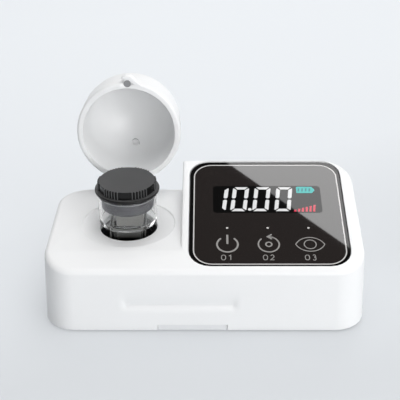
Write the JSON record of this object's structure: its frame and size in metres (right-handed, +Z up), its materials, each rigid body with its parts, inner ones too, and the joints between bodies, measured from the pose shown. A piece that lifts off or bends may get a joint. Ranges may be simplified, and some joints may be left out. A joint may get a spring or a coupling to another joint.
{
  "type": "portable chlorine colorimeter",
  "caption": "Portable water-testing colorimeter: white wedge housing with a sloping black glass touch panel, and a sample well with a hinged domed lid and a stoppered glass vial.",
  "frame": {"origin": "middle of the footprint of the whole part with its lid open, on the surface it stands on", "axes": "+X to the instrument's right, +Y to its rear, +Z up; the front with the thumb scoop faces -Y"},
  "size_m": [0.1352, 0.0954, 0.0892],
  "materials": {
    "white_plastic": "satin moulded, white",
    "inside_white_plastic": "fine textured, white",
    "black_rubber": "matt",
    "panel_glass": "polished, printed black on its back",
    "clear_glass": "clear, polished",
    "lamp_epoxy": "clear moulded",
    "cap_black_plastic": "satin, knurled",
    "plug_grey_rubber": "matt",
    "well_black_plastic": "satin",
    "board_green": "solder mask",
    "display_body": "matt",
    "cell_silver": "foil pouch",
    "grey_foam": "open foam",
    "magnet_grey": "nickel plated",
    "filter_tint": "coated",
    "steel": "plain"
  },
  "bodies": {
    "housing": {"battery_cell": "cell_silver", "battery_pad": "grey_foam", "board_screw_1": "steel", "board_screw_2": "steel", "board_screw_3": "steel", "board_screw_4": "steel", "body_magnet": "magnet_grey", "bottom_cover": "inside_white_plastic", "case_screw_1": "steel", "case_screw_2": "steel", "case_screw_3": "steel", "case_screw_4": "steel", "detector_board": "board_green", "display_module": "display_body", "foot_front_left": "black_rubber", "foot_front_right": "black_rubber", "foot_rear_left": "black_rubber", "foot_rear_right": "black_rubber", "hinge_pin": "steel", "interference_filter": "filter_tint", "main_board": "board_green", "panel_board": "board_green", "panel_glass": "panel_glass", "panel_screw_1": "steel", "panel_screw_2": "steel", "panel_screw_3": "steel", "panel_screw_4": "steel", "photodiode": "steel", "sample_well": "well_black_plastic", "source_board": "board_green", "source_lamp": "lamp_epoxy", "top_shell": "white_plastic", "touch_spring_power": "steel", "touch_spring_read": "steel", "touch_spring_zero": "steel", "usb_socket": "steel", "well_screw_1": "steel", "well_screw_2": "steel"},
    "lid": {"lid_shell": "white_plastic", "lid_magnet": "magnet_grey"},
    "vial": {"vial_glass": "clear_glass"},
    "stopper": {"stopper_cap": "cap_black_plastic", "stopper_plug": "plug_grey_rubber"}
  },
  "joints": [
    {"name": "lid_hinge", "type": "hinge", "parent": "housing", "child": "lid", "pos_m": [-0.03365, 0.0146, 0.0362], "axis": [1, 0, 0], "range_deg": [0, 95.4]},
    {"name": "vial_lift", "type": "slide", "parent": "housing", "child": "vial", "axis": [0, 0, 1], "range_m": [0, 0.064]},
    {"name": "stopper_pull", "type": "slide", "parent": "vial", "child": "stopper", "axis": [0, 0, 1], "range_m": [0, 0.028]}
  ]
}
